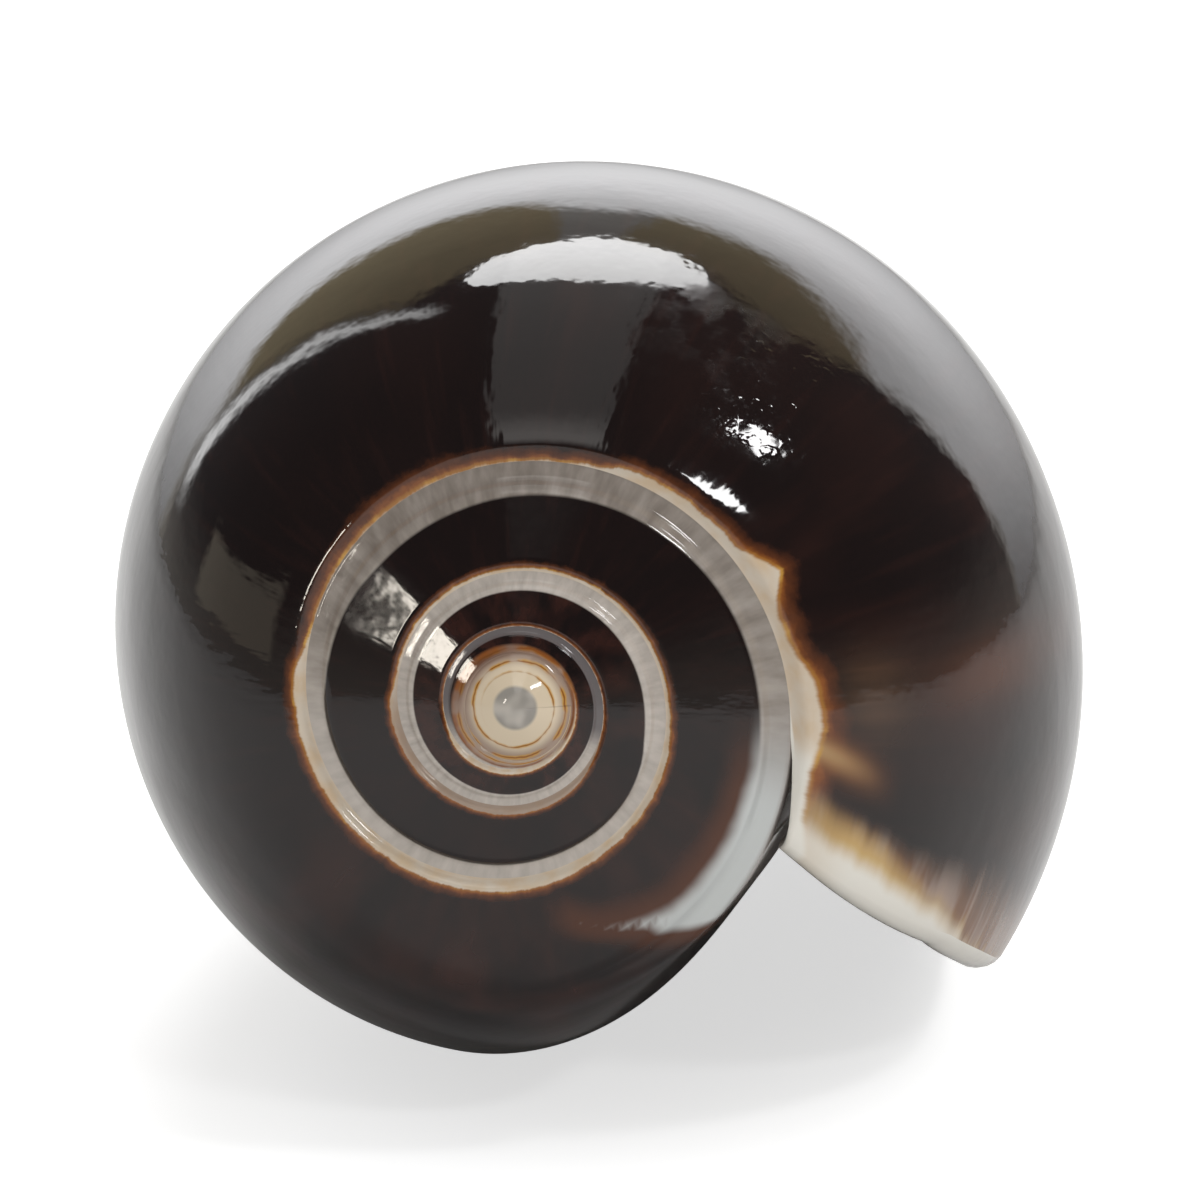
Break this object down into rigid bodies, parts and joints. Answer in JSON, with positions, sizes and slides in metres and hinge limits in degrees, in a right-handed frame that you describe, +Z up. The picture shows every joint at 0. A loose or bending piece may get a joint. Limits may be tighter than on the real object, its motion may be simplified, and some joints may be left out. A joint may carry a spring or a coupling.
{
  "type": "olive shell",
  "caption": "Glossy dark olive shell lying on its long slit mouth, with a low coiled spire, a channel along the suture and a notch at the front end.",
  "frame": {"origin": "centre of the bounding box, at the level of the surface the shell rests on", "axes": "+Z up, with the mouth down; -Y the way the apex points, so the long axis lies along Y and rises a little towards the apex; +X the side of the outer lip"},
  "size_m": [0.0244, 0.0502, 0.0221],
  "materials": {
    "shell": "polished natural shell, dark chestnut with cream and golden fringes"
  },
  "bodies": {
    "root": {"shell": "shell"}
  },
  "joints": []
}
